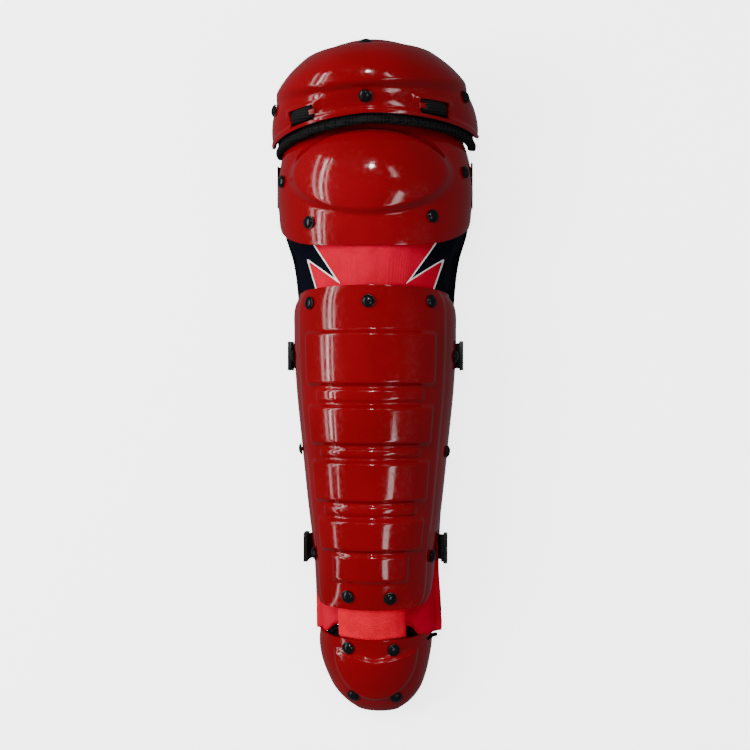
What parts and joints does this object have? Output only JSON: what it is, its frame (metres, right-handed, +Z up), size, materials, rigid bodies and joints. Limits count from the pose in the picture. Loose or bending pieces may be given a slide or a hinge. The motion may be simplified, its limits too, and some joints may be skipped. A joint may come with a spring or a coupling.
{
  "type": "baseball catcher leg guard",
  "caption": "Catcher's leg guard: glossy riveted plastic thigh, knee, shin and foot shells over fabric padding, with calf straps that close round the back.",
  "frame": {"origin": "on the floor under the middle of the guard, which lies on its back", "axes": "+Z up out of the front of the guard, +Y from the foot towards the thigh, +X to the right as seen from the front"},
  "size_m": [0.207, 0.6468, 0.1266],
  "materials": {
    "shell": "glossy deep red moulded plastic",
    "mesh": "black air mesh",
    "fabric": "printed red and black fabric",
    "band": "bright red stretch fabric",
    "webbing": "black woven elastic",
    "hook": "black satin plastic",
    "rivet": "glossy black lacquered metal"
  },
  "bodies": {
    "root": {"cap_shell": "shell", "knee_shell": "shell", "shin_shell": "shell", "foot_shell": "shell", "cap_pad": "mesh", "foot_pad": "mesh", "leg_pad": "fabric", "hinge_band": "band", "cap_webbing_left": "webbing", "cap_webbing_right": "webbing", "thigh_strap": "webbing", "calf_strap_upper": "webbing", "calf_strap_lower": "webbing", "calf_strap_upper_hook_left": "hook", "calf_strap_upper_hook_right": "hook", "calf_strap_lower_hook_left": "hook", "calf_strap_lower_hook_right": "hook", "cap_rivet_1": "rivet", "cap_rivet_2": "rivet", "cap_rivet_3": "rivet", "cap_rivet_4": "rivet", "knee_rivet_1": "rivet", "knee_rivet_2": "rivet", "knee_rivet_3": "rivet", "knee_rivet_4": "rivet", "shin_rivet_1": "rivet", "shin_rivet_2": "rivet", "shin_rivet_3": "rivet", "shin_rivet_4": "rivet", "shin_rivet_5": "rivet", "shin_rivet_6": "rivet", "shin_rivet_7": "rivet", "shin_rivet_8": "rivet", "shin_rivet_9": "rivet", "shin_rivet_10": "rivet", "shin_rivet_11": "rivet", "foot_rivet_1": "rivet", "foot_rivet_2": "rivet", "foot_rivet_3": "rivet", "foot_rivet_4": "rivet"}
  },
  "joints": []
}
